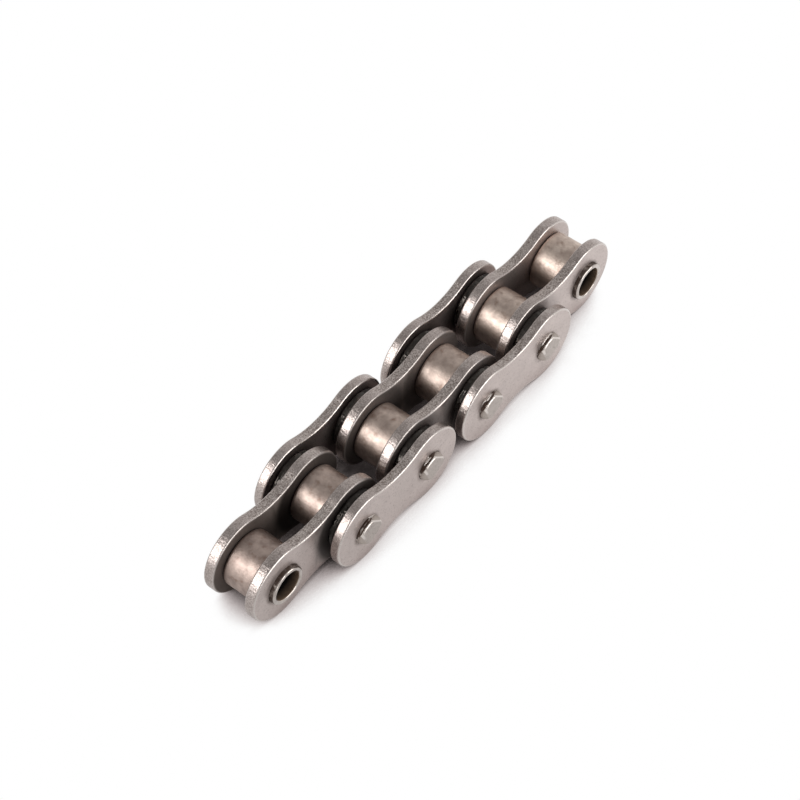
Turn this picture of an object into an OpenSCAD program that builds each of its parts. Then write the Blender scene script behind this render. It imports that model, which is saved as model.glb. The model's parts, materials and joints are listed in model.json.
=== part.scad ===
// A short length of sealed roller chain: three roller links joined by two pin links.
// X runs along the chain, Y along the pins, and Z = 0 is the level of the plates' lowest edges.
// The six joint axes are numbered from 1 at the left end, and every bush, roller, pin and seal
// has the number of its axis. Front is the side towards -Y.

/* [Chain] */
// Distance from one pin to the next
pitch = 15.875; // [15.6:0.025:19.05]
// Clear width between the inner plates, where the sprocket's teeth run
inner_width = 6.35; // [4.75:0.05:9.55]

/* [Link plates] */
// Radius of the round ends of every plate
plate_end_r = 7.1; // [6.4:0.05:7.5]
// Height of a plate at its waist, halfway between its holes
waist_height = 11; // [9:0.1:12.4]
// Depth by which the waist's arc cuts inside the round ends, which leaves a faint crease there
waist_crease = 0.05; // [0.02:0.01:0.12]
// Thickness of the inner plates
inner_plate_t = 2; // [1.4:0.1:3]
// Thickness of the outer plates
outer_plate_t = 1.8; // [1.4:0.1:3]
// Broken edge round each face of a plate
plate_edge = 0.2; // [0.05:0.05:0.4]

/* [Bushes] */
// Outside diameter of the bushes, and of the holes that they are pressed into
bush_d = 7; // [6.4:0.05:7.6]
// How far each end of a bush stands out of its inner plate
bush_proud = 0.9; // [0.3:0.05:1.4]
// Broken edge at the ends of a bush, inside and outside
bush_edge = 0.2; // [0.05:0.05:0.3]

/* [Rollers] */
// Outside diameter of the rollers
roller_d = 10.16; // [9:0.02:11]
// Radius on the outer edges of the rollers
roller_round = 0.5; // [0.1:0.05:0.8]
// Gap all round between a roller and its bush
roller_clear = 0.06; // [0.02:0.01:0.1]
// Gap between each end of a roller and the inner plate
roller_side_clear = 0.12; // [0.05:0.01:0.3]

/* [Pins] */
// Diameter of the pins, and of the holes that they are pressed into
pin_d = 5.24; // [4.6:0.02:5.6]
// Gap all round between a pin and the bush that turns on it
pin_clear = 0.05; // [0.02:0.01:0.1]
// How far each staked pin head stands out of its outer plate
pin_proud = 1; // [0.6:0.05:1.5]
// Distance from a pin's axis to the edge of its land at the two lighter staking blows
head_land = 1.95; // [1.6:0.05:2.2]
// Distance from a pin's axis to the edge of its land at the heavy staking blow
head_land_heavy = 1.55; // [1.3:0.05:2]
// Depth of the staked facets where they run out at the side of the pin
head_facet = 0.65; // [0.2:0.05:0.9]
// Broken edge round each pin head
head_edge = 0.15; // [0.05:0.05:0.25]

/* [Seals] */
// Outside diameter of the seal rings
seal_d = 11; // [9.8:0.1:12]
// Thickness of a seal ring along the pin
seal_t = 1.7; // [1.5:0.05:2.4]
// Radius of each of the seal's four lips
seal_lip_r = 0.42; // [0.2:0.02:0.6]
// Gap between a seal and the bush shoulder, and between a seal and each plate
seal_clear = 0.05; // [0.02:0.01:0.15]

/* [Hidden] */
$fn = 96;
plate_grey = "#a9a19c";
bush_grey = "#8d8884";
roller_grey = "#9b8d82";
pin_grey = "#b3aaa5";
rubber_black = "#1b1a1a";

AXES = 6;
PINNED = [2:5];
FACES = ["front", "back"];
// Direction of each staking blow round a pin head, and the distance from the axis where its facet starts
BLOWS = [[45, head_land], [200, head_land_heavy], [300, head_land]];
// Each link's name and the first of its two joint axes
INNER_LINKS = [["left", 1], ["middle", 3], ["right", 5]];
OUTER_LINKS = [["left", 2], ["right", 4]];

bush_r = bush_d / 2;
pin_r = pin_d / 2;
bush_bore_r = pin_r + pin_clear;
axis_z = plate_end_r;
// Distances from the chain's middle plane to the near face of each layer
inner_plate_y = inner_width / 2;
seal_y = inner_plate_y + inner_plate_t + seal_clear;
outer_plate_y = seal_y + seal_t + seal_clear;
roller_len = inner_width - 2 * roller_side_clear;
bush_len = 2 * (inner_plate_y + inner_plate_t + bush_proud);
pin_len = 2 * (outer_plate_y + outer_plate_t + pin_proud);
// The waist is an arc that touches circles a little smaller than both round ends
half_waist = waist_height / 2;
touch_r = plate_end_r - waist_crease;
waist_r = (pow(pitch / 2, 2) + pow(half_waist, 2) - pow(touch_r, 2)) / (2 * (touch_r - half_waist));
waist_centre = half_waist + waist_r;

// X of joint axis i
function axis_x(i) = (i - (AXES + 1) / 2) * pitch;

// Points of a quarter round about [x, z], from the angle start
function quarter_round(x, z, r, start, steps = 6) =
    [for (k = [0:steps]) let (a = start + 90 * k / steps) [x + r * cos(a), z + r * sin(a)]];

// Lays a piece that was made along +Z onto Y, centred on the chain at x
module across_chain(x, length) {
    translate([x, length / 2, axis_z]) rotate([90, 0, 0]) children();
}

// Lays a piece of thickness t that was made from Z = 0 up against one side of the chain, at x, with the
// distance near from the chain's middle plane
module at_side(x, face, near, t) {
    translate([x, face == "front" ? -near : near + t, axis_z]) rotate([90, 0, 0]) children();
}

// Round end of a plate, with both edges broken
module plate_end(t) {
    rotate_extrude() polygon([
        [0, 0], [plate_end_r - plate_edge, 0], [plate_end_r, plate_edge],
        [plate_end_r, t - plate_edge], [plate_end_r - plate_edge, t], [0, t]
    ]);
}

// Cutter for one side of the waist, flared at both faces to break the edges
module waist_cutter(t) {
    flare_r = waist_r + 2 * plate_edge;
    rotate_extrude() polygon([
        [0, -plate_edge], [flare_r, -plate_edge], [waist_r, plate_edge],
        [waist_r, t - plate_edge], [flare_r, t + plate_edge], [0, t + plate_edge]
    ]);
}

// Middle of a plate: the rhombus between the centres of the four arcs, cut in to the waist
module plate_web(t) {
    difference() {
        linear_extrude(t)
            polygon([[-pitch / 2, 0], [0, -waist_centre], [pitch / 2, 0], [0, waist_centre]]);
        for (side = [-1, 1]) translate([0, side * waist_centre, 0]) waist_cutter(t);
    }
}

// Waisted link plate, lying flat, with its two holes on the X axis
module link_plate(t, hole_r) {
    difference() {
        union() {
            for (side = [-1, 1]) translate([side * pitch / 2, 0, 0]) plate_end(t);
            plate_web(t);
        }
        for (side = [-1, 1]) translate([side * pitch / 2, 0, -t]) cylinder(r = hole_r, h = 3 * t);
    }
}

// Inner plate, held on two bushes
module inner_plate(i, face) {
    color(plate_grey)
        at_side(axis_x(i + 0.5), face, inner_plate_y, inner_plate_t) link_plate(inner_plate_t, bush_r);
}

// Outer plate, held on two pins
module outer_plate(i, face) {
    color(plate_grey)
        at_side(axis_x(i + 0.5), face, outer_plate_y, outer_plate_t) link_plate(outer_plate_t, pin_r);
}

// Bush, pressed through both inner plates and standing proud of them to carry the seals
module bush(i) {
    in_edge = bush_bore_r + bush_edge;
    out_edge = bush_r - bush_edge;
    color(bush_grey) across_chain(axis_x(i), bush_len) rotate_extrude() polygon([
        [in_edge, 0], [out_edge, 0], [bush_r, bush_edge], [bush_r, bush_len - bush_edge],
        [out_edge, bush_len], [in_edge, bush_len],
        [bush_bore_r, bush_len - bush_edge], [bush_bore_r, bush_edge]
    ]);
}

// Roller, free to turn on its bush
module roller(i) {
    inside_r = bush_r + roller_clear;
    round_r = roller_d / 2 - roller_round;
    color(roller_grey) across_chain(axis_x(i), roller_len) rotate_extrude() polygon(concat(
        [[inside_r, 0]],
        quarter_round(round_r, roller_round, roller_round, -90),
        quarter_round(round_r, roller_len - roller_round, roller_round, 0),
        [[inside_r, roller_len]]
    ));
}

// What the slanting staking blows take off a pin head whose top is at Z = 0
module staking_blows() {
    for (blow = BLOWS)
        rotate([0, 0, blow[0]]) translate([blow[1], -pin_d, 0])
            rotate([0, atan2(head_facet, pin_r - blow[1]), 0]) cube([pin_d, 2 * pin_d, pin_d]);
}

// Pin, pressed into both outer plates and staked at both ends
module pin(i) {
    edge_r = pin_r - head_edge;
    color(pin_grey) across_chain(axis_x(i), pin_len) difference() {
        rotate_extrude() polygon([
            [0, 0], [edge_r, 0], [pin_r, head_edge],
            [pin_r, pin_len - head_edge], [edge_r, pin_len], [0, pin_len]
        ]);
        translate([0, 0, pin_len]) staking_blows();
        mirror([0, 0, 1]) staking_blows();
    }
}

// Section of a seal: a square core with a round lip at each corner
module seal_section(width) {
    core = [width - 2 * seal_lip_r, seal_t - 2 * seal_lip_r];
    translate([seal_lip_r, seal_lip_r]) {
        square(core);
        for (x = [0, core[0]])
            for (z = [0, core[1]])
                translate([x, z]) circle(r = seal_lip_r);
    }
}

// Rubber ring, seated on the bush shoulder between an inner and an outer plate
module seal(i, face) {
    inside_r = bush_r + seal_clear;
    color(rubber_black) at_side(axis_x(i), face, seal_y, seal_t)
        rotate_extrude() translate([inside_r, 0]) seal_section(seal_d / 2 - inside_r);
}

for (link = INNER_LINKS)
    for (face = FACES)
        inner_plate(link[1], face);
for (i = [1:AXES])
    bush(i);
for (i = [1:AXES])
    roller(i);
for (link = OUTER_LINKS)
    for (face = FACES)
        outer_plate(link[1], face);
for (i = PINNED)
    pin(i);
for (i = PINNED)
    for (face = FACES)
        seal(i, face);
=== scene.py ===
# %% [markdown]
# # A short length of sealed roller chain
# Three roller links and two pin links, as they come off a workshop shelf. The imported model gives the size
# and the place of every piece, and this lesson gives each piece its finished shape and its surface. The
# order is: measure the chain, mix the materials, make the plates, turn the round pieces, stake the pins,
# and set up the table, the light and the camera.

# %% Load the chain as a fixed frame
import json
import math

import bpy
from mathutils import Matrix, Vector


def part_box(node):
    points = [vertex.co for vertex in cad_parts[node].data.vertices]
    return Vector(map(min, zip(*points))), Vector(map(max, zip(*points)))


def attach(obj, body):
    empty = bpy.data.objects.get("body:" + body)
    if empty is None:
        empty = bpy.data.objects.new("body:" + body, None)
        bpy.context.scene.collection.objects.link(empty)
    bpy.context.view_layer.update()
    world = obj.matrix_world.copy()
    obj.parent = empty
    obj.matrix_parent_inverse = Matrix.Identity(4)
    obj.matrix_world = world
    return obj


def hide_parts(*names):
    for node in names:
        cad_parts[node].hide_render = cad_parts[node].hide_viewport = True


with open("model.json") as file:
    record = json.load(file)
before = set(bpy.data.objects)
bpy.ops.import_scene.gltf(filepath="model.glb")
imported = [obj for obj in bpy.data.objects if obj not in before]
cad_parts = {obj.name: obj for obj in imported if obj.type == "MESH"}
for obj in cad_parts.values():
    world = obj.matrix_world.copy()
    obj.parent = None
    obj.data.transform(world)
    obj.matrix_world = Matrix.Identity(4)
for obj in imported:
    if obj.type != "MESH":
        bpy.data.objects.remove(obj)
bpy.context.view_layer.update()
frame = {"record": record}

bodies = frame["record"]["behaviour"]["bodies"]

# %% [markdown]
# ## Measure the chain
# A chain is named by its pitch, the distance from pin to pin. Every other size could be typed in again,
# but then the looks could drift away from the model, so each size is read from the boxes of the packed
# pieces. What a box can't show, such as a rounding, is written later, beside the piece that has it.

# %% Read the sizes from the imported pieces
MM = 0.001


def middle(node):
    """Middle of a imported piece's box."""
    low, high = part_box(node)
    return (low + high) / 2


def extent(node):
    """Length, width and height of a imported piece's box."""
    low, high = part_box(node)
    return high - low


PITCH = middle("bush_2").x - middle("bush_1").x
AXIS_Z = middle("bush_1").z
END_X = middle("bush_6").x      # the joint axis at either end of the chain
PINNED_X = middle("bush_5").x   # the last pinned joint axis at either end
LEFT_LINK_X = middle("inner_plate_left_front").x
END_R = extent("outer_plate_left_front").z / 2
OUTER_T = extent("outer_plate_left_front").y
INNER_T = extent("inner_plate_left_front").y
BUSH_R = extent("bush_1").x / 2
BUSH_LENGTH = extent("bush_1").y
BORE_R = frame["record"]["mounts"][0]["dims"]["r_mm"] * MM
ROLLER_R = extent("roller_1").x / 2
ROLLER_LENGTH = extent("roller_1").y
PIN_R = extent("pin_2").x / 2
PIN_LENGTH = extent("pin_2").y
SEAL_R = extent("seal_2_front").x / 2
SEAL_WIDTH = extent("seal_2_front").y
print(f"pitch {PITCH / MM:.3f} mm, plates {END_R / MM:.2f} mm round, rollers {ROLLER_R / MM:.2f} mm round")

# %% [markdown]
# ## Small helpers for node trees
# Materials and Geometry Nodes are both trees of nodes. Adding a node by hand takes a line for each
# setting and each link, so one function does all of it: settings are keywords, and inputs are a value, a
# socket or a node. Colours are written as the sRGB hex codes that a paint program shows, and Blender
# works in linear light.

# %% Add a node, and read a colour
def fill(node, inputs):
    """Link or set a node's inputs. A node stands for its first output in use, a list for several links."""
    for key, value in inputs.items():
        for source in value if isinstance(value, list) else [value]:
            if isinstance(source, bpy.types.Node):
                source = next(out for out in source.outputs if out.enabled)
            if isinstance(source, bpy.types.NodeSocket):
                node.id_data.links.new(source, node.inputs[key])
            else:
                node.inputs[key].default_value = source


def add(tree, kind, inputs=None, **settings):
    """Add a node, set it up and fill its inputs."""
    node = tree.nodes.new(kind)
    for name, value in settings.items():
        setattr(node, name, value)
    fill(node, inputs or {})
    return node


def srgb(hex_code):
    """Linear colour of an sRGB hex code."""
    shares = [int(hex_code[i:i + 2], 16) / 255 for i in (1, 3, 5)]
    return tuple(s / 12.92 if s <= 0.04045 else ((s + 0.055) / 1.055) ** 2.4 for s in shares) + (1.0,)


print("mid grey in linear light:", [round(c, 3) for c in srgb("#808080")[:3]])

# %% Start a material, and scale a pattern
def new_material(name):
    """A material with a Principled shader: the material, its tree, the shader and Object coordinates."""
    material = bpy.data.materials.new(name)
    material.use_nodes = True
    tree = material.node_tree
    shader = next(n for n in tree.nodes if n.type == "BSDF_PRINCIPLED")
    return material, tree, shader, add(tree, "ShaderNodeTexCoord").outputs["Object"]


def scale_for(size_mm):
    """Scale of a pattern on Object coordinates whose features are this many millimetres wide."""
    return 1 / (size_mm * MM)


print("a pattern of one millimetre has the scale", round(scale_for(1)))

# %% [markdown]
# ## Plate steel
# Link plates are punched from hardened steel strip and then tumbled with grit. The tumbling leaves the
# faces satin, with faint scuffs, and polishes the corners. The press tool shaves the round ends smooth,
# so they mirror the soft boxes, and tears the waist, which stays grainy. Dirt settles round the holes,
# with painted shade on the upper left of each joint. Grease is pressed out beside the seals, and a film
# of grime covers the inside. The grease is also painted shade beside the ends of the outer plates, the
# grime is also painted shade in the pockets and darker still at the left end, and painted light pales
# both towards the right end. One colour and one roughness couldn't tell these apart, so the tree that
# makes the plates stores attributes: rim goes from 0 on a face to 1 on the edge, waist is 1 along the
# torn stretch, and hole is the radius of the plate's holes. The dirt needs the distance from a joint
# axis, and folding x by the pitch gives it for all six.

# %% Distance from the nearest joint axis
def from_axis(tree, place, aside=0.0):
    """Distance from a line that runs this far left of the nearest joint axis, and half as far above it."""
    centre = (PITCH / 2 - aside, 0, AXIS_Z + aside / 2)
    high = (PITCH / 2, 1, 1)
    low = (-PITCH / 2, -1, -1)
    centred = add(tree, "ShaderNodeVectorMath", {0: place, 1: centre}, operation="SUBTRACT")
    folded = add(tree, "ShaderNodeVectorMath", {0: centred, 1: high, 2: low}, operation="WRAP")
    flat = add(tree, "ShaderNodeVectorMath", {0: folded, 1: (1, 0, 1)}, operation="MULTIPLY")
    return add(tree, "ShaderNodeVectorMath", {0: flat}, operation="LENGTH")


print("joint axes lie", round(PITCH / MM, 3), "mm apart")

# %% Tumbled plate steel and its patterns
# The grit, the flakes and the punch lines are drawn coarser than the real ones, so that they show
CLOUD_MM = 2.6
GRAIN_MM = 0.3
FLAKE_MM = 0.22
RIPPLE_MM = 1.2
SCUFF_MM = 2.2
SCUFF_SLANT = 0.6
SCUFF_THINNER = 12
PUNCH_LINE_MM = 0.4
PUNCH_LINE_STRETCH = 0.12

# Satin grey with a warm cast, soft bright corners, smooth round ends and a dull speckled waist
plate_steel, tree, shader, place = new_material("Tumbled_plate_steel")
rim, waist, hole = [add(tree, "ShaderNodeAttribute", attribute_name=name).outputs["Fac"]
                    for name in ("rim", "waist", "hole")]
torn = add(tree, "ShaderNodeMath", {0: rim, 1: waist}, operation="MULTIPLY")
off_rim = add(tree, "ShaderNodeMath", {0: 1.0, 1: rim}, operation="SUBTRACT")
# This product is largest, a quarter, halfway round a corner
halfway = add(tree, "ShaderNodeMath", {0: rim, 1: off_rim}, operation="MULTIPLY")
corner = add(tree, "ShaderNodeMath", {0: halfway, 1: 4.0}, operation="MULTIPLY", use_clamp=True)

slanted = add(tree, "ShaderNodeMapping", {
    "Vector": place, "Rotation": (0, SCUFF_SLANT, 0), "Scale": (1, 1, SCUFF_THINNER)})
drawn_out = add(tree, "ShaderNodeMapping", {"Vector": place, "Scale": (1, PUNCH_LINE_STRETCH, 1)})
clouds, grain, flakes, ripple, streaks, lines = [
    add(tree, "ShaderNodeTexNoise", {"Vector": vector, "Scale": scale_for(size), "Detail": octaves})
    for vector, size, octaves in (
        (place, CLOUD_MM, 5.0), (place, GRAIN_MM, 3.0), (place, FLAKE_MM, 2.0), (place, RIPPLE_MM, 2.0),
        (slanted, SCUFF_MM, 4.0), (drawn_out, PUNCH_LINE_MM, 3.0))]
pits, scuffs, flaked = [
    add(tree, "ShaderNodeMapRange", {"Value": noise, "From Min": low, "From Max": high})
    for noise, low, high in ((grain, 0.54, 0.72), (streaks, 0.56, 0.74), (flakes, 0.36, 0.64))]
print("plate steel has clouds of", CLOUD_MM, "mm and grain of", GRAIN_MM, "mm")

# %% Dirt and painted shade round the holes
DIRT_AND_SHADE_REACH = 0.8 * MM
SHADE_ASIDE = 0.2 * MM   # painted shade beside the pin head makes the ring reach further on the upper left of a joint

# painted shade: the dirt ring reaches further on the upper left of each joint
joint_distance = from_axis(tree, place)
dirt_and_shade_distance = from_axis(tree, place, SHADE_ASIDE)
past_hole = add(tree, "ShaderNodeMath", {0: dirt_and_shade_distance, 1: hole}, operation="SUBTRACT")
ring = add(tree, "ShaderNodeMapRange", {
    "Value": past_hole, "From Min": 0.0, "From Max": DIRT_AND_SHADE_REACH, "To Min": 1.0, "To Max": 0.0},
    interpolation_type="SMOOTHSTEP")
patchy = add(tree, "ShaderNodeMapRange", {
    "Value": clouds, "From Min": 0.35, "From Max": 0.65, "To Min": 0.2})
dirt_and_shade = add(tree, "ShaderNodeMath", {0: ring, 1: patchy}, operation="MULTIPLY")
print("dirt reaches", round(DIRT_AND_SHADE_REACH / MM, 1), "mm past the edge of a hole")

# %% Grease pressed out beside the seals, with painted shade
# It lies on the inner plates, which have the larger holes, round every joint but the two at the ends, and
# it is also painted shade beside the ends of the outer plates
GREASE_AND_SHADE_REACH = END_R + 2.2 * MM
RIGHT_SHARE = 0.12   # painted light: share of the grease and grime darkening left at the right end

along = add(tree, "ShaderNodeSeparateXYZ", {0: place}).outputs
from_centre = add(tree, "ShaderNodeMath", {0: along["X"]}, operation="ABSOLUTE")
past_pins = add(tree, "ShaderNodeMath", {0: from_centre, 1: PINNED_X}, operation="SUBTRACT")
pin_distance = add(tree, "ShaderNodeMath", {0: joint_distance, 1: past_pins}, operation="MAXIMUM")
near_seal = add(tree, "ShaderNodeMapRange", {
    "Value": pin_distance, "From Min": GREASE_AND_SHADE_REACH, "From Max": END_R}, interpolation_type="SMOOTHSTEP")
is_inner = add(tree, "ShaderNodeMath", {0: hole, 1: (PIN_R + BUSH_R) / 2}, operation="GREATER_THAN")
# painted light: the grease and the grime pale towards the right end
lighter_to_right = add(tree, "ShaderNodeMapRange", {
    "Value": along["X"], "From Min": LEFT_LINK_X, "From Max": END_X, "To Min": 1.0, "To Max": RIGHT_SHARE})
# painted shade over real grease, on the inner plates next to the ends of the outer plates
grease_and_shade = near_seal
for share in (is_inner, off_rim, lighter_to_right):
    grease_and_shade = add(tree, "ShaderNodeMath", {0: grease_and_shade, 1: share}, operation="MULTIPLY")
print("grease reaches", round(GREASE_AND_SHADE_REACH / MM, 1), "mm from a joint axis")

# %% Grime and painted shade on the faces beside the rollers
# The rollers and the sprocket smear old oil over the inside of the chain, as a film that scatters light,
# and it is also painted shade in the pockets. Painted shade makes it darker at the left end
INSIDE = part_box("inner_plate_left_back")[0].y + 0.1 * MM   # just behind the inner faces
LEFT_SHADE_FROM = -1.8 * PITCH
LEFT_SHADE_DEEPEST_AT = -2.3 * PITCH

from_middle = add(tree, "ShaderNodeMath", {0: along["Y"]}, operation="ABSOLUTE")
# the grime also stands for painted shade in the pockets between the plates
grime_and_shade = add(tree, "ShaderNodeMath", {0: from_middle, 1: INSIDE}, operation="LESS_THAN")
for share in (lighter_to_right, off_rim):
    grime_and_shade = add(tree, "ShaderNodeMath", {0: grime_and_shade, 1: share}, operation="MULTIPLY")
# painted shade: darker on the inside faces towards the left end
darker_to_left = add(tree, "ShaderNodeMapRange", {
    "Value": along["X"], "From Min": LEFT_SHADE_FROM, "From Max": LEFT_SHADE_DEEPEST_AT})
left_end_shade = add(tree, "ShaderNodeMath", {0: grime_and_shade, 1: darker_to_left}, operation="MULTIPLY")
print("grime lies within", round(INSIDE / MM, 2), "mm of the middle plane")

# %% Colour of the plate steel
speckle, satin = [
    add(tree, "ShaderNodeMix", {"Factor": pattern, "A": srgb(dark), "B": srgb(pale)}, data_type="RGBA")
    for pattern, dark, pale in ((flaked, "#74665f", "#d6ccc6"), (clouds, "#b6a9a4", "#d2c5c0"))]
torn_more = add(tree, "ShaderNodeMapRange", {"Value": torn, "To Min": 0.5, "To Max": 0.85})
rough_rim = add(tree, "ShaderNodeMath", {0: rim, 1: torn_more}, operation="MULTIPLY")
colour = add(tree, "ShaderNodeMix", {"Factor": rough_rim, "A": satin, "B": speckle}, data_type="RGBA")
# Where each finish lies, how much of the steel it covers there, and its colour. The dirt, the grime and
# the grease are partly painted shade, and the dark left end is painted shade
plate_finishes = ((pits, 0.45, "#6b605b"), (scuffs, 0.35, "#ddd5d0"), (corner, 0.6, "#dcd5d0"),
                  (dirt_and_shade, 0.8, "#4b3a32"), (grime_and_shade, 0.65, "#897a6f"), (left_end_shade, 0.7, "#2e2621"),
                  (grease_and_shade, 0.93, "#1c1613"))
for zone, cover, shade in plate_finishes:
    share = add(tree, "ShaderNodeMath", {0: zone, 1: cover}, operation="MULTIPLY")
    colour = add(tree, "ShaderNodeMix", {"Factor": share, "A": colour, "B": srgb(shade)}, data_type="RGBA")
print("plate steel has", len(plate_finishes), "finishes over its satin")

# %% Roughness and relief of the plate steel
RIPPLE_DEPTH = 0.05 * MM
PUNCH_LINE_DEPTH = 0.05 * MM
GRAIN_DEPTH = 0.06 * MM

rough = add(tree, "ShaderNodeMapRange", {"Value": clouds, "To Min": 0.32, "To Max": 0.46})
for zone, target in ((rim, 0.36), (torn, 0.46), (corner, 0.22), (dirt_and_shade, 0.55), (grime_and_shade, 0.5), (grease_and_shade, 0.5)):
    rough = add(tree, "ShaderNodeMix", {"Factor": zone, "A": rough, "B": target})
metal = dirt_and_shade
for film_and_shade in (grease_and_shade, grime_and_shade):
    metal = add(tree, "ShaderNodeMath", {0: metal, 1: film_and_shade}, operation="MAXIMUM")
metal = add(tree, "ShaderNodeMapRange", {"Value": metal, "To Min": 1.0, "To Max": 0.4})

waves = add(tree, "ShaderNodeBump", {"Height": ripple, "Strength": 0.5, "Distance": RIPPLE_DEPTH})
sheared = add(tree, "ShaderNodeBump", {
    "Height": lines, "Strength": rim, "Distance": PUNCH_LINE_DEPTH, "Normal": waves})
grainy = add(tree, "ShaderNodeMapRange", {"Value": rough_rim, "To Min": 0.25, "To Max": 1.0})
relief = add(tree, "ShaderNodeBump", {
    "Height": grain, "Strength": grainy, "Distance": GRAIN_DEPTH, "Normal": sheared})
fill(shader, {"Base Color": colour, "Roughness": rough, "Metallic": metal, "Normal": relief})
print("mixed", plate_steel.name, "with", len(tree.nodes), "nodes")

# %% [markdown]
# ## Roller steel
# Rollers are drawn from steel strip, hardened and tumbled, and a film of oil on them has turned brown.
# They are a shade warmer than the plates and mottled, with soft rusty patches, and painted light makes
# them paler towards the right end. A picture of the mottling would do, but it would need a seam, and noise
# has none.

# %% Oiled roller steel
MOTTLE_MM = 1.9
PATCH_MM = 1.3
FINE_GRAIN_DEPTH = 0.05 * MM

# Brown-grey metal with a broad soft highlight, blotches and a few rusty patches, and painted light that
# makes it paler towards the right end
roller_steel, tree, shader, place = new_material("Oiled_roller_steel")
mottle = add(tree, "ShaderNodeTexNoise", {
    "Vector": place, "Scale": scale_for(MOTTLE_MM), "Detail": 5.0, "Roughness": 0.6})
patches = add(tree, "ShaderNodeTexNoise", {"Vector": place, "Scale": scale_for(PATCH_MM), "Detail": 4.0})
grain = add(tree, "ShaderNodeTexNoise", {"Vector": place, "Scale": scale_for(GRAIN_MM), "Detail": 2.0})
blotch = add(tree, "ShaderNodeMapRange", {"Value": mottle, "From Min": 0.35, "From Max": 0.65})
rusty = add(tree, "ShaderNodeMapRange", {
    "Value": patches, "From Min": 0.56, "From Max": 0.76, "To Max": 0.6})
# painted light: the film is darker at the left end and paler towards the right end
along_x = add(tree, "ShaderNodeSeparateXYZ", {0: place}).outputs["X"]
paler_to_right = add(tree, "ShaderNodeMapRange", {"Value": along_x, "From Min": -END_X, "From Max": END_X})
darker_left_film, paler_right_film = [
    add(tree, "ShaderNodeMix", {"Factor": blotch, "A": srgb(dark), "B": srgb(pale)}, data_type="RGBA")
    for dark, pale in (("#9b8a82", "#c2afa5"), ("#bba99e", "#e0cfc2"))]
film_and_shade = add(tree, "ShaderNodeMix", {"Factor": paler_to_right, "A": darker_left_film, "B": paler_right_film}, data_type="RGBA")
colour = add(tree, "ShaderNodeMix", {"Factor": rusty, "A": film_and_shade, "B": srgb("#7b5a49")}, data_type="RGBA")
rough = add(tree, "ShaderNodeMapRange", {
    "Value": mottle, "From Min": 0.3, "From Max": 0.7, "To Min": 0.5, "To Max": 0.42})
relief = add(tree, "ShaderNodeBump", {"Height": grain, "Strength": 0.5, "Distance": FINE_GRAIN_DEPTH})
fill(shader, {"Base Color": colour, "Roughness": rough, "Metallic": 1.0, "Normal": relief})
print("mixed", roller_steel.name, "with blotches of", MOTTLE_MM, "mm")

# %% [markdown]
# ## Bush steel
# A bush is a ground tube. Its ends are bruised and polished bright by handling, and the bore has a film of
# old oil, golden brown at the mouth, with painted shade that darkens it further in. Patches of dirt cling
# to the outside next to the plate, together with painted shade there. Three materials could share the
# piece, but their borders would be hard. The lathe that makes the bushes stores section, the place of each
# point in the wall's profile, and its first part tells the bore from the outside.

# %% Zones of a ground bush
BORE_FILM_FROM = 0.09 * MM   # the film starts this far from the bore's wall
BORE_FILM_FULL = 0.03 * MM   # and is whole from here on
OUTSIDE_DIRT_AND_SHADE_FROM = 0.06 * MM
MOUTH = 0.3 * MM             # depth in the bore where painted shade starts to darken the film
BORE_SHADE_DEPTH = 1.8 * MM
BUSH_SMEAR_MM = 1.1

# Mirror-bright ring at the end, golden brown in the mouth of the bore with painted shade deeper in, and
# patchy dark brown dirt with painted shade outside
bush_steel, tree, shader, place = new_material("Ground_bush_steel")
section = add(tree, "ShaderNodeAttribute", attribute_name="section").outputs["Vector"]
across = add(tree, "ShaderNodeSeparateXYZ", {0: section}).outputs["X"]
half_wall = (BUSH_R - BORE_R) / 2
inside = add(tree, "ShaderNodeMapRange", {
    "Value": across, "From Min": BORE_FILM_FROM - half_wall, "From Max": BORE_FILM_FULL - half_wall})
off_bore = add(tree, "ShaderNodeMath", {0: 1.0, 1: inside}, operation="SUBTRACT")
outside = add(tree, "ShaderNodeMapRange", {
    "Value": across, "From Min": half_wall - OUTSIDE_DIRT_AND_SHADE_FROM, "From Max": half_wall})
along_y = add(tree, "ShaderNodeSeparateXYZ", {0: place}).outputs["Y"]
from_middle = add(tree, "ShaderNodeMath", {0: along_y}, operation="ABSOLUTE")
# painted shade: the film darkens deeper in the bore
bore_shade = add(tree, "ShaderNodeMapRange", {
    "Value": from_middle, "From Min": BUSH_LENGTH / 2 - MOUTH, "From Max": BUSH_LENGTH / 2 - BORE_SHADE_DEPTH})
smear = add(tree, "ShaderNodeTexNoise", {"Vector": place, "Scale": scale_for(BUSH_SMEAR_MM), "Detail": 4.0})
patchy = add(tree, "ShaderNodeMapRange", {"Value": smear, "From Min": 0.35, "From Max": 0.5, "To Min": 0.3})
# dirt on the outside, which is also painted shade beside the plate
dirt_and_shade = add(tree, "ShaderNodeMath", {0: outside, 1: patchy}, operation="MULTIPLY")
print("the film is dark from", round(BORE_SHADE_DEPTH / MM, 1), "mm inside the bore")

# %% Ground bush steel
BRUISE_MM = 1.7
BRUISE_DEPTH = 0.5 * MM   # a slope for the light, deeper than the real bruises

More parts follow.
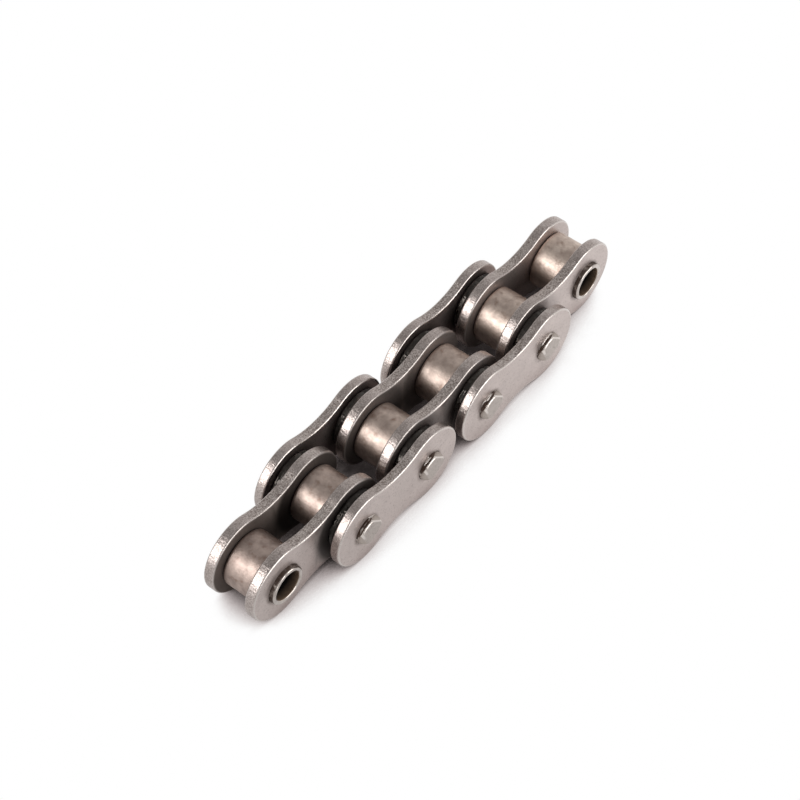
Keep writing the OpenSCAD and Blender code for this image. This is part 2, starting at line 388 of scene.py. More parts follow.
bright, gold = [
    add(tree, "ShaderNodeMix", {"Factor": smear, "A": srgb(dark), "B": srgb(pale)}, data_type="RGBA")
    for dark, pale in (("#978c85", "#e2d9d3"), ("#5a483a", "#97806b"))]
film_and_shade = add(tree, "ShaderNodeMix", {"Factor": bore_shade, "A": gold, "B": srgb("#0e0a08")}, data_type="RGBA")
colour = add(tree, "ShaderNodeMix", {"Factor": inside, "A": bright, "B": film_and_shade}, data_type="RGBA")
colour = add(tree, "ShaderNodeMix", {"Factor": dirt_and_shade, "A": colour, "B": srgb("#4d4038")}, data_type="RGBA")
rough = add(tree, "ShaderNodeMapRange", {"Value": smear, "To Min": 0.12, "To Max": 0.26})
for zone, target in ((inside, 0.55), (dirt_and_shade, 0.5)):
    rough = add(tree, "ShaderNodeMix", {"Factor": zone, "A": rough, "B": target})
filmed = add(tree, "ShaderNodeMath", {0: dirt_and_shade, 1: inside}, operation="MAXIMUM")
metal = add(tree, "ShaderNodeMapRange", {"Value": filmed, "To Min": 1.0, "To Max": 0.5})
bruises = add(tree, "ShaderNodeTexNoise", {"Vector": place, "Scale": scale_for(BRUISE_MM), "Detail": 0.0})
dents = add(tree, "ShaderNodeBump", {"Height": bruises, "Strength": off_bore, "Distance": BRUISE_DEPTH})
fill(shader, {"Base Color": colour, "Roughness": rough, "Metallic": metal, "Normal": dents})
print("mixed", bush_steel.name, "with bruises of", BRUISE_MM, "mm")

# %% [markdown]
# ## Pin steel
# A pin is ground and hardened, which leaves its side dark brown, and the staking blows bare the metal of
# its head. Handling polishes whatever stands proud, the edges of the land and the rim, and the struck
# facets stay dull. The polished edge of the land is painted bright only above the axis, as a painted
# highlight, and the scrapes on the wall are painted bright as highlights too. Painting that by hand would
# take a map for each pin. The pin's mesh stores three attributes instead: side is 1 on the wall, rim is
# 1 on the rounded rim, and drop is how far a point lies below the land, which tells the polished edge of a
# facet from its dull foot.

# %% Land, facets and rim of a staked pin
LAND_DROP = 0.01 * MM       # how far below the land its polished edge starts
EDGE_DROP = 0.05 * MM       # where that edge is whole
POLISHED_DROP = 0.12 * MM   # where it starts to turn into a facet
FACET_DROP = 0.2 * MM       # where the facet is whole
HIGHLIGHT_BLEND = 0.4 * MM      # painted highlight on the polished edge above the axis, fading over this height on both sides
PIN_CLOUD_MM = 0.9

# Grey land with a painted highlight on its upper edge, dull facets, a bright rim, and a dark wall with a
# few scrapes painted bright as highlights
pin_steel, tree, shader, place = new_material("Staked_pin_steel")
side, rim, drop = [add(tree, "ShaderNodeAttribute", attribute_name=name).outputs["Fac"]
                   for name in ("side", "rim", "drop")]
along = add(tree, "ShaderNodeSeparateXYZ", {0: place}).outputs
clouds = add(tree, "ShaderNodeTexNoise", {"Vector": place, "Scale": scale_for(PIN_CLOUD_MM), "Detail": 4.0})
facet = add(tree, "ShaderNodeMapRange", {"Value": drop, "From Min": POLISHED_DROP, "From Max": FACET_DROP})
started = add(tree, "ShaderNodeMapRange", {"Value": drop, "From Min": LAND_DROP, "From Max": EDGE_DROP})
polished_edge_and_highlight = add(tree, "ShaderNodeMath", {0: started, 1: facet}, operation="SUBTRACT", use_clamp=True)
# painted highlight: the polished edge is bright only above the axis
upper_highlight = add(tree, "ShaderNodeMapRange", {
    "Value": along["Z"], "From Min": AXIS_Z - HIGHLIGHT_BLEND, "From Max": AXIS_Z + HIGHLIGHT_BLEND})
polished_edge_and_highlight = add(tree, "ShaderNodeMath", {0: polished_edge_and_highlight, 1: upper_highlight}, operation="MULTIPLY")
worn = add(tree, "ShaderNodeMapRange", {"Value": clouds, "From Min": 0.3, "From Max": 0.5})
off_facet = add(tree, "ShaderNodeMath", {0: 1.0, 1: facet}, operation="SUBTRACT")
worn_rim = rim
for share in (worn, off_facet):
    worn_rim = add(tree, "ShaderNodeMath", {0: worn_rim, 1: share}, operation="MULTIPLY")
print("a facet is polished down to", round(POLISHED_DROP / MM, 2), "mm below the land")

# %% Scrapes at the foot of a pin head, painted bright as highlights
SCRAPE_MM = 1.6
SCRAPE_FLATTER = 3
SCRAPE_TOP = 0.5 * MM
PLATE_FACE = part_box("outer_plate_left_back")[1].y

either_end = add(tree, "ShaderNodeMath", {0: along["Y"]}, operation="ABSOLUTE")
foot = add(tree, "ShaderNodeMapRange", {
    "Value": either_end, "From Min": PLATE_FACE + SCRAPE_TOP, "From Max": PLATE_FACE + SCRAPE_TOP / 2})
around = add(tree, "ShaderNodeMapping", {"Vector": place, "Scale": (1, SCRAPE_FLATTER, 1)})
streaks = add(tree, "ShaderNodeTexNoise", {"Vector": around, "Scale": scale_for(SCRAPE_MM), "Detail": 3.0})
scratch = add(tree, "ShaderNodeMapRange", {"Value": streaks, "From Min": 0.48, "From Max": 0.6})
scraped = add(tree, "ShaderNodeMath", {0: foot, 1: scratch}, operation="MULTIPLY")
brown = add(tree, "ShaderNodeMath", {0: side, 1: scraped}, operation="SUBTRACT", use_clamp=True)
# painted highlight: the scrapes on the wall are painted near white
scraped_wall_and_highlight = add(tree, "ShaderNodeMath", {0: side, 1: scraped}, operation="MULTIPLY")
print("scrapes reach", round(SCRAPE_TOP / MM, 1), "mm up from the plate")

# %% Staked pin steel
GOUGE_DEPTH = 0.12 * MM

grain = add(tree, "ShaderNodeTexNoise", {"Vector": place, "Scale": scale_for(GRAIN_MM), "Detail": 3.0})
pits = add(tree, "ShaderNodeMapRange", {"Value": grain, "From Min": 0.54, "From Max": 0.72, "To Max": 0.5})
colour = add(tree, "ShaderNodeMix", {"Factor": clouds, "A": srgb("#a2978f"), "B": srgb("#c4bab4")},
             data_type="RGBA")
# the upper polished edge and the scraped wall are painted highlights
for zone, shade in ((pits, "#6b605b"), (facet, "#a0958d"), (polished_edge_and_highlight, "#dad1cb"), (worn_rim, "#e6ddd6"),
                    (brown, "#55473f"), (scraped_wall_and_highlight, "#eee7e1")):
    colour = add(tree, "ShaderNodeMix", {"Factor": zone, "A": colour, "B": srgb(shade)}, data_type="RGBA")
rough = add(tree, "ShaderNodeMapRange", {"Value": clouds, "To Min": 0.28, "To Max": 0.44})
for zone, target in ((facet, 0.5), (polished_edge_and_highlight, 0.3), (worn_rim, 0.25), (brown, 0.45), (scraped_wall_and_highlight, 0.3)):
    rough = add(tree, "ShaderNodeMix", {"Factor": zone, "A": rough, "B": target})
dull = add(tree, "ShaderNodeMath", {0: facet, 1: brown}, operation="MAXIMUM")
dull = add(tree, "ShaderNodeMath", {0: dull, 1: worn_rim}, operation="SUBTRACT", use_clamp=True)
metal = add(tree, "ShaderNodeMapRange", {"Value": dull, "To Min": 1.0, "To Max": 0.5})
gouges = add(tree, "ShaderNodeBump", {"Height": scraped, "Strength": side, "Distance": GOUGE_DEPTH})
relief = add(tree, "ShaderNodeBump", {
    "Height": grain, "Strength": 0.25, "Distance": FINE_GRAIN_DEPTH, "Normal": gouges})
fill(shader, {"Base Color": colour, "Roughness": rough, "Metallic": metal, "Normal": relief})
print("mixed", pin_steel.name, "with", len(tree.nodes), "nodes")

# %% [markdown]
# ## Seal rubber
# The seals are nitrile rubber rings, packed in grease. Rubber alone is dull, and the grease lies on it in
# lumpy smears that catch the light. A second, wet shader could be mixed in, but both surfaces are black
# and differ only in their gloss, so one noise sets the roughness and the relief of a single shader.

# %% Greased nitrile rubber
SMEAR_MM = 1.7
SMEAR_DEPTH = 0.5 * MM

# Deep black with a few wet, warm glints
seal_rubber, tree, shader, place = new_material("Greased_nitrile_rubber")
smear = add(tree, "ShaderNodeTexNoise", {"Vector": place, "Scale": scale_for(SMEAR_MM), "Detail": 2.0})
colour = add(tree, "ShaderNodeMix", {"Factor": smear, "A": srgb("#020202"), "B": srgb("#0a0908")},
             data_type="RGBA")
rough = add(tree, "ShaderNodeMapRange", {
    "Value": smear, "From Min": 0.45, "From Max": 0.6, "To Min": 0.65, "To Max": 0.1})
relief = add(tree, "ShaderNodeBump", {"Height": smear, "Strength": 1.0, "Distance": SMEAR_DEPTH})
fill(shader, {"Base Color": colour, "Roughness": rough, "Normal": relief, "Specular IOR Level": 0.9,
              "Specular Tint": srgb("#f0e4da")})
print("mixed", seal_rubber.name, "with smears of", SMEAR_MM, "mm")

# %% [markdown]
# ## Draw a profile with rounded corners
# Plates, rollers and bushes all have broken edges, and it is these that catch the light. A bevel could be
# added afterwards, but a profile that already has its roundings can be swept round any path and stays
# clean. On both sides of a rounding a support point keeps the flat next to it flat when it is shaded
# smooth.

# %% Rounded profile
ROUND_STEPS = 7
SUPPORT = 0.06 * MM


def rounded_line(corners, closed):
    """Points along a line through corners of (x, y, radius), with each corner rounded to its radius."""
    points = []
    count = len(corners)
    for i, (x, y, radius) in enumerate(corners):
        corner = Vector((x, y))
        if not closed and i in (0, count - 1):
            points.append(corner)
            continue
        before = (Vector(corners[i - 1][:2]) - corner).normalized()
        after = (Vector(corners[(i + 1) % count][:2]) - corner).normalized()
        half = before.angle(after) / 2
        reach = radius / math.tan(half)
        centre = corner + (before + after).normalized() * radius / math.sin(half)
        start = corner + before * reach - centre
        sweep = start.angle_signed(corner + after * reach - centre)
        points.append(corner + before * (reach + SUPPORT))
        for step in range(ROUND_STEPS + 1):
            points.append(centre + Matrix.Rotation(-sweep * step / ROUND_STEPS, 2) @ start)
        points.append(corner + after * (reach + SUPPORT))
    return points


def profile_object(name, points, closed):
    """An object of edges along the points, for a tree to sweep."""
    edges = [(i, i + 1) for i in range(len(points) - 1)]
    if closed:
        edges.append((len(points) - 1, 0))
    mesh = bpy.data.meshes.new(name)
    mesh.from_pydata([(p.x, p.y, 0) for p in points], edges, [])
    profile = bpy.data.objects.new(name, mesh)
    bpy.context.scene.collection.objects.link(profile)
    return profile


print("a rounding has", ROUND_STEPS, "steps")

# %% [markdown]
# ## Run a tree on the places of a body's pieces
# One tree makes one kind of piece and copies it onto every vertex of the mesh that it runs on. So that
# mesh is only points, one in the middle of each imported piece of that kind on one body. Copies made by
# hand would also do, but a tree can be changed in one place. The result is kept as a plain mesh at the
# origin, rides on its body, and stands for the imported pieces.

# %% First and last nodes of every tree
def new_tree(name, inputs):
    """A Geometry Nodes tree with these named inputs, and the sockets that give their values."""
    tree = bpy.data.node_groups.new(name, "GeometryNodeTree")
    tree.interface.new_socket("Geometry", in_out="INPUT", socket_type="NodeSocketGeometry")
    for label, kind in inputs.items():
        tree.interface.new_socket(label, in_out="INPUT", socket_type="NodeSocket" + kind)
    tree.interface.new_socket("Geometry", in_out="OUTPUT", socket_type="NodeSocketGeometry")
    return tree, add(tree, "NodeGroupInput").outputs


def copy_to_places(tree, given, shape):
    """Stand the shape up across the chain, copy it to the points and finish it."""
    upright = add(tree, "GeometryNodeTransform", {"Geometry": shape, "Rotation": (math.pi / 2, 0, 0)})
    copies = add(tree, "GeometryNodeInstanceOnPoints", {"Points": given["Geometry"], "Instance": upright})
    real = add(tree, "GeometryNodeRealizeInstances", {"Geometry": copies})
    dressed = add(tree, "GeometryNodeSetMaterial", {"Geometry": real, "Material": given["Material"]})
    add(tree, "NodeGroupOutput", {"Geometry": dressed})
    print(tree.name, "tree has", len(tree.nodes), "nodes")


# %% Grow the pieces of a body
def bodies_with(kind):
    """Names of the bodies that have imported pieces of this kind."""
    return [body for body, nodes in bodies.items() if any(n.startswith(kind) for n in nodes)]


def grow(body, kind, tree, inputs):
    """Make all the pieces of one kind on one body as one plain mesh, and hand it to the body."""
    nodes = [n for n in bodies[body] if n.startswith(kind)]
    points = bpy.data.meshes.new(kind)
    points.from_pydata([middle(n) for n in nodes], [], [])
    piece = bpy.data.objects.new(f"{body}.{kind}", points)
    bpy.context.scene.collection.objects.link(piece)
    modifier = piece.modifiers.new(tree.name, "NODES")
    modifier.node_group = tree
    for socket in tree.interface.items_tree:
        if socket.in_out == "INPUT" and socket.name in inputs:
            modifier[socket.identifier] = inputs[socket.name]
    graph = bpy.context.evaluated_depsgraph_get()
    shape = bpy.data.meshes.new_from_object(piece.evaluated_get(graph))
    piece.modifiers.clear()
    piece.data = shape
    shape.materials.clear()
    shape.materials.append(inputs["Material"])
    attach(piece, body)
    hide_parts(*nodes)
    print(piece.name, "stands for", nodes, "with", len(shape.polygons), "faces")


print("plates ride on", bodies_with("inner_plate") + bodies_with("outer_plate"))

# %% [markdown]
# ## Link plates
# A link plate is a figure of eight with a filled waist: two round ends, and two hollow arcs that touch
# both. It could be cut with booleans, but the outline is four arcs, so the tree draws half of it, turns a
# copy round, and sweeps the rounded edge profile along the closed outline and the two holes. The two
# faces are filled in between, and everything is welded into one closed skin.

# %% Outline of a link plate
ARC_POINTS = 91
WAIST_POINTS = 33
WELD = 0.001 * MM
HALF_TURN = (0, 0, math.pi)

tree, given = new_tree("link_plate", {
    "Pitch": "Float", "End radius": "Float", "Joint angle": "Float", "Waist radius": "Float",
    "Waist centre": "Float", "Half thickness": "Float", "Edge inset": "Float", "Edge profile": "Object",
    "Hole radius": "Float", "Hole inset": "Float", "Hole profile": "Object", "Material": "Material"})
meet = given["Joint angle"]
half_pitch = add(tree, "ShaderNodeMath", {0: given["Pitch"], 1: 0.5}, operation="MULTIPLY")
hole_place = add(tree, "ShaderNodeCombineXYZ", {"X": half_pitch})
waist_place = add(tree, "ShaderNodeCombineXYZ", {"Y": given["Waist centre"]})
end_start = add(tree, "ShaderNodeMath", {0: meet, 1: -1.0}, operation="MULTIPLY")
end_sweep = add(tree, "ShaderNodeMath", {0: meet, 1: 2.0}, operation="MULTIPLY")
waist_start = add(tree, "ShaderNodeMath", {0: meet, 1: math.pi}, operation="SUBTRACT")
waist_sweep = add(tree, "ShaderNodeMath", {0: math.pi, 1: end_sweep}, operation="SUBTRACT")
end_arc = add(tree, "GeometryNodeCurveArc", {
    "Resolution": ARC_POINTS, "Radius": given["End radius"], "Start Angle": end_start,
    "Sweep Angle": end_sweep})
waist_arc = add(tree, "GeometryNodeCurveArc", {
    "Resolution": WAIST_POINTS, "Radius": given["Waist radius"], "Start Angle": waist_start,
    "Sweep Angle": waist_sweep})
marked = add(tree, "GeometryNodeStoreNamedAttribute", {
    "Geometry": waist_arc, "Name": "waist", "Value": 1.0})
end_there = add(tree, "GeometryNodeTransform", {"Geometry": end_arc, "Translation": hole_place})
waist_there = add(tree, "GeometryNodeTransform", {"Geometry": marked, "Translation": waist_place})
half = add(tree, "GeometryNodeJoinGeometry", {0: [end_there, waist_there]})
other = add(tree, "GeometryNodeTransform", {"Geometry": half, "Rotation": HALF_TURN})
arcs = add(tree, "GeometryNodeJoinGeometry", {0: [half, other]})
wire = add(tree, "GeometryNodeCurveToMesh", {"Curve": arcs})
loop = add(tree, "GeometryNodeMergeByDistance", {"Geometry": wire, "Distance": WELD})
outline = add(tree, "GeometryNodeMeshToCurve", {"Mesh": loop})
print("outline drawn with", 2 * (ARC_POINTS + WAIST_POINTS), "points")

# %% Holes and edges of the plate
HOLE_POINTS = 96

circle = add(tree, "GeometryNodeCurvePrimitiveCircle", {
    "Resolution": HOLE_POINTS, "Radius": given["Hole radius"]})
inward = add(tree, "GeometryNodeReverseCurve", {"Curve": circle})
right_hole = add(tree, "GeometryNodeTransform", {"Geometry": inward, "Translation": hole_place})
left_hole = add(tree, "GeometryNodeTransform", {"Geometry": right_hole, "Rotation": HALF_TURN})
holes = add(tree, "GeometryNodeJoinGeometry", {0: [right_hole, left_hole]})
tangent = add(tree, "GeometryNodeInputTangent")
outward = add(tree, "ShaderNodeVectorMath", {0: tangent, 1: (0, 0, 1)}, operation="CROSS_PRODUCT")
skins = []
borders = []
for path, inset, swept in ((outline, "Edge inset", "Edge profile"), (holes, "Hole inset", "Hole profile")):
    drawn = add(tree, "GeometryNodeObjectInfo", {"Object": given[swept]}).outputs["Geometry"]
    profile = add(tree, "GeometryNodeMeshToCurve", {"Mesh": drawn})
    skins.append(add(tree, "GeometryNodeCurveToMesh", {"Curve": path, "Profile Curve": profile}))
    back = add(tree, "ShaderNodeMath", {0: given[inset], 1: -1.0}, operation="MULTIPLY")
    shift = add(tree, "ShaderNodeVectorMath", {0: outward, "Scale": back}, operation="SCALE")
    borders.append(add(tree, "GeometryNodeSetPosition", {"Geometry": path, "Offset": shift}))
print("edges sweep", len(skins), "profiles, one round the outline and one round the holes")

# %% Faces of the plate
ring = add(tree, "GeometryNodeJoinGeometry", {0: borders})
filled = add(tree, "GeometryNodeFillCurve", {"Curve": ring})
face = add(tree, "GeometryNodeSetShadeSmooth", {"Geometry": filled, "Shade Smooth": False})
turned_face = add(tree, "GeometryNodeFlipFaces", {"Mesh": face})
for side, half_skin in ((1.0, face), (-1.0, turned_face)):
    level = add(tree, "ShaderNodeMath", {0: given["Half thickness"], 1: side}, operation="MULTIPLY")
    lift = add(tree, "ShaderNodeCombineXYZ", {"Z": level})
    skins.append(add(tree, "GeometryNodeTransform", {"Geometry": half_skin, "Translation": lift}))
skin = add(tree, "GeometryNodeJoinGeometry", {0: skins})
closed_skin = add(tree, "GeometryNodeMergeByDistance", {"Geometry": skin, "Distance": WELD})
noted = add(tree, "GeometryNodeStoreNamedAttribute", {
    "Geometry": closed_skin, "Name": "hole", "Value": given["Hole radius"]})
copy_to_places(tree, given, noted)
plate_tree = tree

# %% Plates of all five links
WAIST_HEIGHT = 11 * MM
EDGE_ROUND = 0.35 * MM
HOLE_ROUND = 0.12 * MM

half_waist = WAIST_HEIGHT / 2
waist_r = ((PITCH / 2) ** 2 + half_waist ** 2 - END_R ** 2) / (2 * (END_R - half_waist))
waist_centre = half_waist + waist_r
joint_angle = math.pi - math.atan2(waist_centre, PITCH / 2)


def edge_profile(name, thickness, rounding):
    """Profile of an edge that is rounded at both faces, and how far in from the edge it ends."""
    inset = rounding + 2 * SUPPORT
    half_t = thickness / 2
    line = rounded_line([(-inset, -half_t, 0), (0, -half_t, rounding), (0, half_t, rounding),
                         (-inset, half_t, 0)], closed=False)
    profile = profile_object(name, line, closed=False)
    rim = profile.data.attributes.new("rim", "FLOAT", "POINT")
    for value, point in zip(rim.data, line):
        value.value = min(1, max(0, 1 + point.x / rounding))
    return profile, inset


def make_plates(kind, thickness, hole_r):
    """Make the plates of one kind on every body that has them."""
    edge, edge_inset = edge_profile(kind + "_edge", thickness, EDGE_ROUND)
    hole, hole_inset = edge_profile(kind + "_hole", thickness, HOLE_ROUND)
    inputs = {"Pitch": PITCH, "End radius": END_R, "Joint angle": joint_angle, "Waist radius": waist_r,
              "Waist centre": waist_centre, "Half thickness": thickness / 2, "Edge inset": edge_inset,
              "Edge profile": edge, "Hole radius": hole_r, "Hole inset": hole_inset, "Hole profile": hole,
              "Material": plate_steel}
    for body in bodies_with(kind):
        grow(body, kind, plate_tree, inputs)
    for profile in (edge, hole):
        bpy.data.objects.remove(profile)


make_plates("inner_plate", INNER_T, BUSH_R)
make_plates("outer_plate", OUTER_T, PIN_R)

# %% [markdown]
# ## Rollers, bushes and seals
# These are round, so a lathe makes them: a profile of the wall is swept round a circle. The Screw
# modifier could turn them too, but the tree also keeps each point's place in the profile, as the
# attribute section, so that a material can tell the bore from the outside. The seals have a lip at each
# corner, so a formula draws theirs.

# %% The lathe tree
TURN_POINTS = 128

tree, given = new_tree("lathe", {"Profile": "Object", "Radius": "Float", "Material": "Material"})
drawn = add(tree, "GeometryNodeObjectInfo", {"Object": given["Profile"]}).outputs["Geometry"]
profile = add(tree, "GeometryNodeMeshToCurve", {"Mesh": drawn})
spot = add(tree, "GeometryNodeInputPosition")
kept = add(tree, "GeometryNodeStoreNamedAttribute", {
    "Geometry": profile, "Name": "section", "Value": spot}, data_type="FLOAT_VECTOR")
circle = add(tree, "GeometryNodeCurvePrimitiveCircle", {
    "Resolution": TURN_POINTS, "Radius": given["Radius"]})
turned = add(tree, "GeometryNodeCurveToMesh", {"Curve": circle, "Profile Curve": kept})
copy_to_places(tree, given, turned)
lathe_tree = tree


def turn(kind, line, radius, material):
    """Turn a closed profile, drawn about the middle of its wall, into all the pieces of one kind."""
    profile = profile_object(kind + "_profile", line, closed=True)
    inputs = {"Profile": profile, "Radius": radius, "Material": material}
    for body in bodies_with(kind):
        grow(body, kind, lathe_tree, inputs)
    bpy.data.objects.remove(profile)


# %% Rollers and bushes
ROLLER_CLEAR = 0.06 * MM
ROLLER_ROUND = 0.5 * MM
ROLLER_BORE_ROUND = 0.2 * MM
BUSH_ROUND = 0.33 * MM


def wall(inner_r, outer_r, length, inner_round, outer_round):
    """Profile of a tube's wall, and the radius of its middle."""
    half_w = (outer_r - inner_r) / 2
    half_l = length / 2
    corners = [(half_w, -half_l, outer_round), (half_w, half_l, outer_round),
               (-half_w, half_l, inner_round), (-half_w, -half_l, inner_round)]
    return rounded_line(corners, closed=True), (inner_r + outer_r) / 2


line, radius = wall(BUSH_R + ROLLER_CLEAR, ROLLER_R, ROLLER_LENGTH, ROLLER_BORE_ROUND, ROLLER_ROUND)
turn("roller", line, radius, roller_steel)
line, radius = wall(BORE_R, BUSH_R, BUSH_LENGTH, BUSH_ROUND, BUSH_ROUND)
turn("bush", line, radius, bush_steel)

# %% Seals with four lips
SEAL_CLEAR = 0.05 * MM
SEAL_POINTS = 48
LIP_DIP = 0.16   # how far the sides dip between the lips, as a share of the section

seal_inner_r = BUSH_R + SEAL_CLEAR
half_w = (SEAL_R - seal_inner_r) / 2
line = []
for step in range(SEAL_POINTS):
    angle = 2 * math.pi * step / SEAL_POINTS
    square = (math.cos(angle) ** 4 + math.sin(angle) ** 4) ** -0.25
    reach = square * (1 - LIP_DIP * math.cos(2 * angle) ** 2)
    line.append(Vector((reach * math.cos(angle), reach * math.sin(angle))))
widest = max(p.x for p in line)
line = [Vector((p.x / widest * half_w, p.y / widest * SEAL_WIDTH / 2)) for p in line]
turn("seal", line, seal_inner_r + half_w, seal_rubber)

# %% [markdown]
# ## Pins with staked heads
# A pin is pressed through both outer plates, and three slanting blows spread each end so that it can't
# pull out. They leave a flat land with three facets beside it. Booleans would cut the facets too sharply,
# so the head is a height over the pin's round end: the lowest of the land and the three slopes, with the
# corners between them softened as struck steel is, and a rounded rim.

# %% Shape of a staked head
# Direction of each staking blow in degrees, and the distance from the axis where its facet starts
BLOWS = ((45, 1.95 * MM), (200, 1.55 * MM), (300, 1.95 * MM))
HEAD_FACET = 0.65 * MM   # depth of a facet at the side of the pin
HEAD_SOFT = 0.08 * MM
HEAD_RIM = 0.3 * MM
HEAD_RINGS = 40
RIM_STEPS = 7


def head_drop(radius, angle):
    """How far the struck head lies below its land, with soft corners."""
    drops = [0.0]
    for blow, start in BLOWS:
        across = radius * math.cos(angle - math.radians(blow))
        drops.append((across - start) * HEAD_FACET / (PIN_R - start))
    most = max(drops)
    return most + HEAD_SOFT * math.log(sum(math.exp((d - most) / HEAD_SOFT) for d in drops))


def head_rings():
    """Radius, depth of the rounding and share of the rim for each ring of a head, from the middle out."""
    flat_r = PIN_R - HEAD_RIM
    rings = [(flat_r * (i + 1) / HEAD_RINGS, 0.0, 0.0) for i in range(HEAD_RINGS)]
    for i in range(RIM_STEPS):
        turn_by = math.pi / 2 * (i + 1) / RIM_STEPS
        rings.append((flat_r + HEAD_RIM * math.sin(turn_by), HEAD_RIM * (1 - math.cos(turn_by)), 1.0))
    return rings


print("a head has", len(BLOWS), "facets and", len(head_rings()), "rings")

# %% One staked pin
PIN_SIDES = 128


def pin_mesh():
    """A closed pin along Z with a staked head at both ends, and the attributes side, rim and drop."""
    rings = head_rings()
    land = head_drop(0, 0)
    angles = [2 * math.pi * step / PIN_SIDES for step in range(PIN_SIDES)]
    pairs = [(here, (here + 1) % PIN_SIDES) for here in range(PIN_SIDES)]
    points, faces, notes = [], [], []
    for end in (1, -1):
        first = len(points)
        points.append((0, 0, end * PIN_LENGTH / 2))
        notes.append((0.0, 0.0, 0.0))
        for radius, rounding, rim in rings:
            on_wall = 1.0 if radius == rings[-1][0] else 0.0
            for angle in angles:
                drop = head_drop(radius, angle) - land
                height = PIN_LENGTH / 2 - drop - rounding
                points.append((radius * math.cos(angle), radius * math.sin(angle), end * height))
                notes.append((on_wall, rim, drop))
        for here, there in pairs:
            faces.append((first, first + 1 + here, first + 1 + there)[::end])
            for ring in range(len(rings) - 1):
                near = first + 1 + ring * PIN_SIDES
                far = near + PIN_SIDES
                faces.append((near + here, far + here, far + there, near + there)[::end])
    top = 1 + (len(rings) - 1) * PIN_SIDES
    foot = top + len(points) // 2
    for here, there in pairs:
        faces.append((top + here, foot + here, foot + there, top + there))
    mesh = bpy.data.meshes.new("staked_pin")
    mesh.from_pydata(points, [], faces)
    mesh.shade_smooth()
    for name, values in zip(("side", "rim", "drop"), zip(*notes)):
        mesh.attributes.new(name, "FLOAT", "POINT").data.foreach_set("value", values)
    return mesh


pin = bpy.data.objects.new("staked_pin", pin_mesh())
bpy.context.scene.collection.objects.link(pin)
print("pin has", len(pin.data.polygons), "faces")

# %% Pins in both pin links
pin_tree, given = new_tree("staked_pins", {"Pin": "Object", "Material": "Material"})
drawn = add(pin_tree, "GeometryNodeObjectInfo", {"Object": given["Pin"]}).outputs["Geometry"]
copy_to_places(pin_tree, given, drawn)
for body in bodies_with("pin"):
    grow(body, "pin", pin_tree, {"Pin": pin, "Material": pin_steel})
bpy.data.objects.remove(pin)

# %% [markdown]
# ## Table
# The chain lies on a white table. Under this light a white sheet comes out pale grey, and making it
# brighter would throw too much light on the chain. So the camera sees a clear sheet, and the white is the
# room behind it. The sheet darkens where something stands close above it, as a contact shadow does. An
# Ambient Occlusion node measures that. Rays from shiny surfaces meet a table that glows and has the same
# shadow. It glows a little less towards the left end, where the steel is darker. All other rays meet a
# plain white sheet.

# %% A sheet for the table
TABLE_R = 6.0
TABLE_CORNERS = 3

angles = [2 * math.pi * corner / TABLE_CORNERS for corner in range(TABLE_CORNERS)]
corners = [(TABLE_R * math.cos(angle), TABLE_R * math.sin(angle), 0) for angle in angles]
table_mesh = bpy.data.meshes.new("table")
table_mesh.from_pydata(corners, [], [range(TABLE_CORNERS)])
table = bpy.data.objects.new("table", table_mesh)
bpy.context.scene.collection.objects.link(table)
print("table reaches", TABLE_R / 2, "m all round")

# %% White table
TABLE_WHITE = "#e6e6e6"
SHADOW_TINT = "#ffe9e6"
SHELTER_REACH = 12 * MM   # what stands within this distance keeps light off the table
DARK_SKY = 0.2            # share of open sky at which the shadow is deepest
FULL_SKY = 0.63           # share of open sky from which the table is white
DEEPEST = 0.02
MIRROR_LEFT = 0.72        # brightness of the table in the steel, at the left end and at the right end
MIRROR_RIGHT = 1.0

# Pure white with a soft, faintly warm shadow under the chain
white_table = bpy.data.materials.new("White_table")
white_table.use_nodes = True
tree = white_table.node_tree
tree.nodes.clear()
path = add(tree, "ShaderNodeLightPath").outputs
place = add(tree, "ShaderNodeTexCoord").outputs["Object"]
open_sky = add(tree, "ShaderNodeAmbientOcclusion", {"Distance": SHELTER_REACH}, samples=16).outputs["AO"]
shade = add(tree, "ShaderNodeMapRange", {
    "Value": open_sky, "From Min": DARK_SKY, "From Max": FULL_SKY, "To Min": DEEPEST})
tint = add(tree, "ShaderNodeMix", {"Factor": shade, "A": srgb(SHADOW_TINT), "B": srgb("#ffffff")},
           data_type="RGBA")
dimmed = add(tree, "ShaderNodeVectorMath", {0: tint, "Scale": shade}, operation="SCALE")
along_x = add(tree, "ShaderNodeSeparateXYZ", {0: place}).outputs["X"]
glow = add(tree, "ShaderNodeMapRange", {
    "Value": along_x, "From Min": -END_X, "From Max": END_X, "To Min": MIRROR_LEFT,
    "To Max": MIRROR_RIGHT})
mirrored = add(tree, "ShaderNodeMath", {0: path["Is Glossy Ray"], 1: path["Is Transmission Ray"]},
               operation="MAXIMUM")
shining = add(tree, "ShaderNodeEmission", {"Color": dimmed, "Strength": glow})
lit = add(tree, "ShaderNodeBsdfDiffuse", {"Color": srgb(TABLE_WHITE)})
clear = add(tree, "ShaderNodeBsdfTransparent", {"Color": dimmed})
unseen = add(tree, "ShaderNodeMixShader", {0: mirrored, 1: lit, 2: shining})
surface = add(tree, "ShaderNodeMixShader", {0: path["Is Camera Ray"], 1: unseen, 2: clear})
add(tree, "ShaderNodeOutputMaterial", {"Surface": surface})
table_mesh.materials.append(white_table)
print("things within", round(SHELTER_REACH / MM), "mm of the table shade it")

# %% [markdown]
# ## Room and soft boxes
# Bare steel shows what is round it, so the room matters as much as the lamps. A panorama of a real studio
# would do, but a plain room is enough here: pale walls, and a ceiling that is darker on the left, so that
# curved steel turns from dark to light. Two large soft boxes, one on the left and a little behind and one
# in front, give the broad highlights on the round ends and light the faces of the plates.

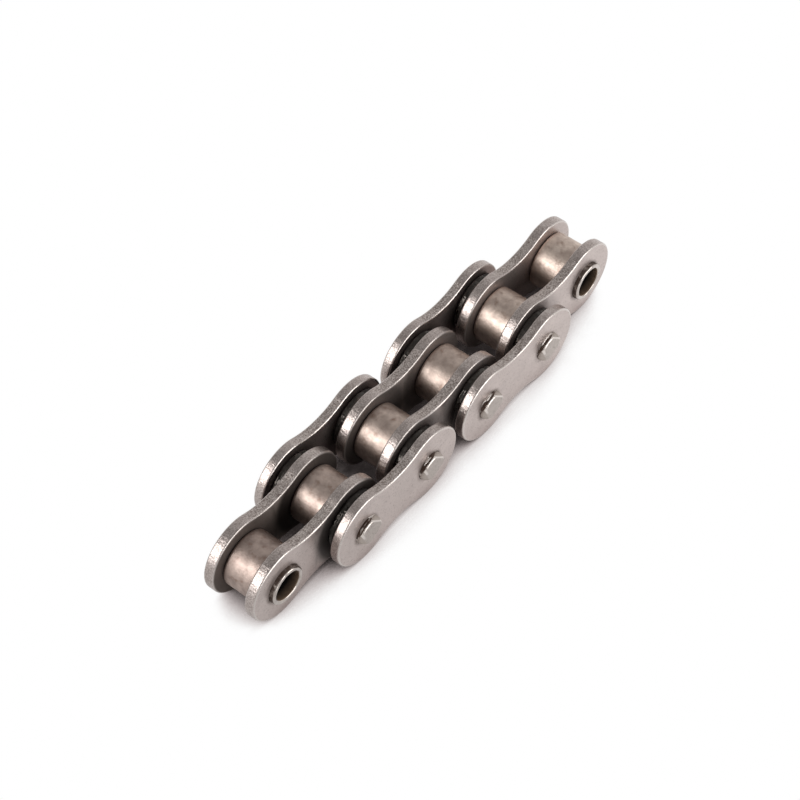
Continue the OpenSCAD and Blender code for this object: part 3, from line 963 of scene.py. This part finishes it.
# %% Room
WALLS = 0.75
CEILING_LEFT = 0.25
CEILING_RIGHT = 0.68
BACKDROP = 1.0   # what the camera sees, which is white

world = bpy.data.worlds.new("Studio")
bpy.context.scene.world = world
world.use_nodes = True
tree = world.node_tree
tree.nodes.clear()
path = add(tree, "ShaderNodeLightPath").outputs
direction = add(tree, "ShaderNodeTexCoord").outputs["Generated"]
heading = add(tree, "ShaderNodeSeparateXYZ", {0: direction}).outputs
raised = add(tree, "ShaderNodeMapRange", {"Value": heading["Z"], "From Min": 0.0, "From Max": 0.6},
             interpolation_type="SMOOTHSTEP")
ceiling = add(tree, "ShaderNodeMapRange", {
    "Value": heading["X"], "From Min": -0.1, "From Max": 0.8, "To Min": CEILING_LEFT,
    "To Max": CEILING_RIGHT})
room = add(tree, "ShaderNodeMix", {"Factor": raised, "A": WALLS, "B": ceiling})
level = add(tree, "ShaderNodeMix", {"Factor": path["Is Camera Ray"], "A": room, "B": BACKDROP})
sky = add(tree, "ShaderNodeBackground", {"Color": srgb("#ffffff"), "Strength": level})
add(tree, "ShaderNodeOutputWorld", {"Surface": sky})
print("walls have strength", WALLS, "and the ceiling", CEILING_LEFT, "to", CEILING_RIGHT)

# %% Soft boxes
BOX_DISTANCE = 2.0


def soft_box(name, towards, width, height, radiance):
    """A soft box that stands in this direction and faces the chain, as bright as given over its face."""
    light = bpy.data.lights.new(name, "AREA")
    light.shape = "RECTANGLE"
    light.size = width
    light.size_y = height
    light.energy = radiance * math.pi * width * height
    lamp = bpy.data.objects.new(name, light)
    back = Vector(towards).normalized()
    facing = back.to_track_quat("Z", "Y").to_matrix().to_4x4()
    lamp.matrix_world = Matrix.Translation(back * BOX_DISTANCE) @ facing
    lamp.visible_camera = False
    bpy.context.scene.collection.objects.link(lamp)
    print(name, "gives", round(light.energy, 2), "W")


soft_box("key_box", towards=(-0.77, 0.38, 0.50), width=1.7, height=1.2, radiance=4.1)
soft_box("front_box", towards=(0.1, -0.95, 0.4), width=2.6, height=1.5, radiance=2.4)

# %% [markdown]
# ## Camera
# The chain is seen from its left front and from well above, through a fairly long lens that keeps its
# links nearly the same size. The camera could be placed by hand in the viewport, but then its place
# couldn't be read. So it is written the way that a tripod is set: two angles, a distance, and how far it
# aims beside the middle.

# %% Camera
CAMERA_AZIMUTH = math.radians(-51.27)
CAMERA_HEIGHT = math.radians(52.24)
CAMERA_DISTANCE = 349.2 * MM
AIM_RIGHT = -2.904 * MM
AIM_UP = 1.243 * MM
LENS_MM = 95.71
SENSOR_MM = 36
NEAREST = 10 * MM   # anything closer to the camera isn't drawn

back = Vector((math.sin(CAMERA_AZIMUTH) * math.cos(CAMERA_HEIGHT),
               -math.cos(CAMERA_AZIMUTH) * math.cos(CAMERA_HEIGHT), math.sin(CAMERA_HEIGHT)))
right = Vector((math.cos(CAMERA_AZIMUTH), math.sin(CAMERA_AZIMUTH), 0))
up = back.cross(right)
aim = Vector((0, 0, AXIS_Z)) + right * AIM_RIGHT + up * AIM_UP
lens = bpy.data.cameras.new("camera")
lens.lens = LENS_MM
lens.sensor_width = SENSOR_MM
lens.clip_start = NEAREST
camera = bpy.data.objects.new("camera", lens)
turned = Matrix((right, up, back)).transposed().to_4x4()
camera.matrix_world = Matrix.Translation(aim + back * CAMERA_DISTANCE) @ turned
bpy.context.scene.collection.objects.link(camera)
bpy.context.scene.camera = camera
bpy.context.scene.view_settings.view_transform = "Standard"
print("camera stands", round(CAMERA_DISTANCE / MM), "mm from the chain")
